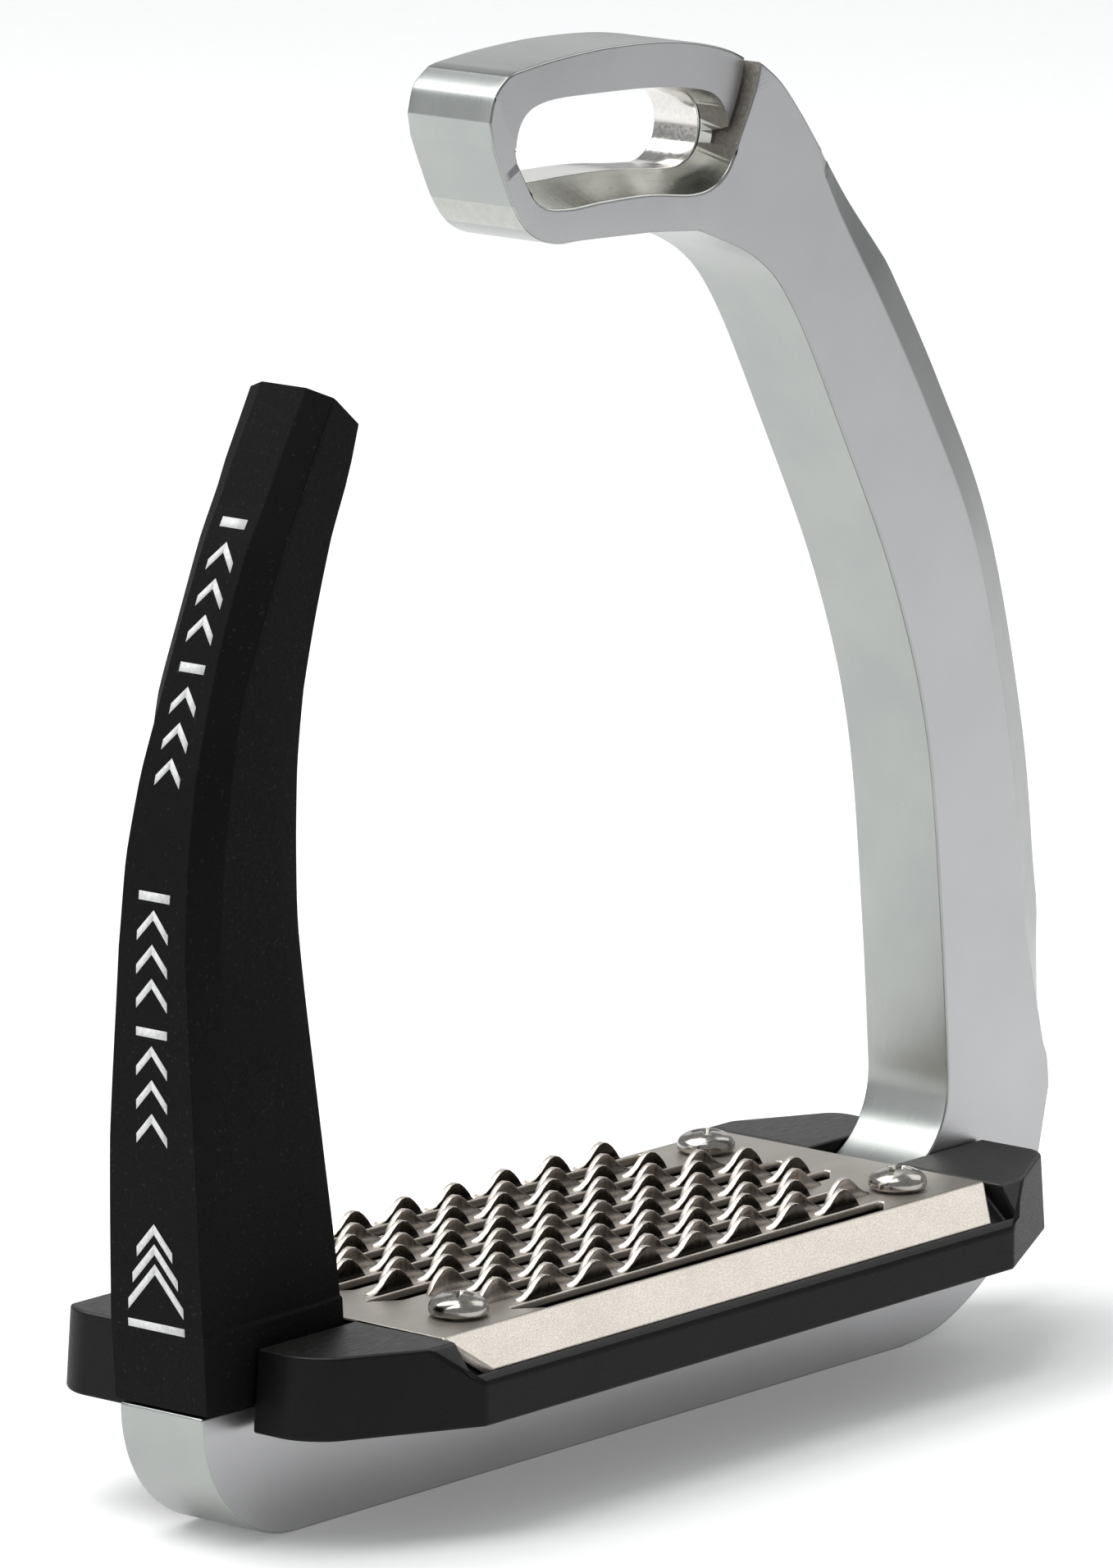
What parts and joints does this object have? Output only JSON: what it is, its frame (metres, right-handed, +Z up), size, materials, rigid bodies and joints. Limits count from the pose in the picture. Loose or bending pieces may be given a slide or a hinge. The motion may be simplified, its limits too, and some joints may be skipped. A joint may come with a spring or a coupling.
{
  "type": "safety stirrup iron",
  "caption": "Riding stirrup with an open metal frame, a flexible release arm, a slanted leather eye and a toothed grip plate on a wide tread.",
  "frame": {"origin": "the point on the roof of the leather eye, at mid depth and above the middle of the tread, where the stirrup leather bears", "axes": "+X along the tread from the release arm towards the metal arm, +Y from the front of the tread to its back, +Z up"},
  "size_m": [0.1691, 0.0564, 0.1775],
  "materials": {
    "aluminium": "satin, vibratory finished",
    "steel": "polished stainless steel",
    "nickel_sheet": "punched sheet, bead blasted edges",
    "elastomer": "matt moulded",
    "moulded_plastic": "satin moulded"
  },
  "bodies": {
    "iron": {"frame": "aluminium", "eye_liner": "steel", "footbed_pad": "moulded_plastic", "grip_plate": "nickel_sheet", "tread_carrier": "steel", "release_arm_root": "elastomer", "arm_insert": "steel", "plate_screw_front_left": "steel", "plate_screw_front_right": "steel", "plate_screw_back_left": "steel", "plate_screw_back_right": "steel", "carrier_screw_left": "steel", "carrier_screw_right": "steel", "arm_bolt": "steel"},
    "release_arm": {"release_arm": "elastomer"}
  },
  "joints": [
    {"name": "release_arm_bend", "type": "hinge", "parent": "iron", "child": "release_arm", "pos_m": [-0.0819, 0, -0.1335], "axis": [0, -1, 0], "range_deg": [0, 45], "stiffness_Nm_per_rad": 15}
  ]
}
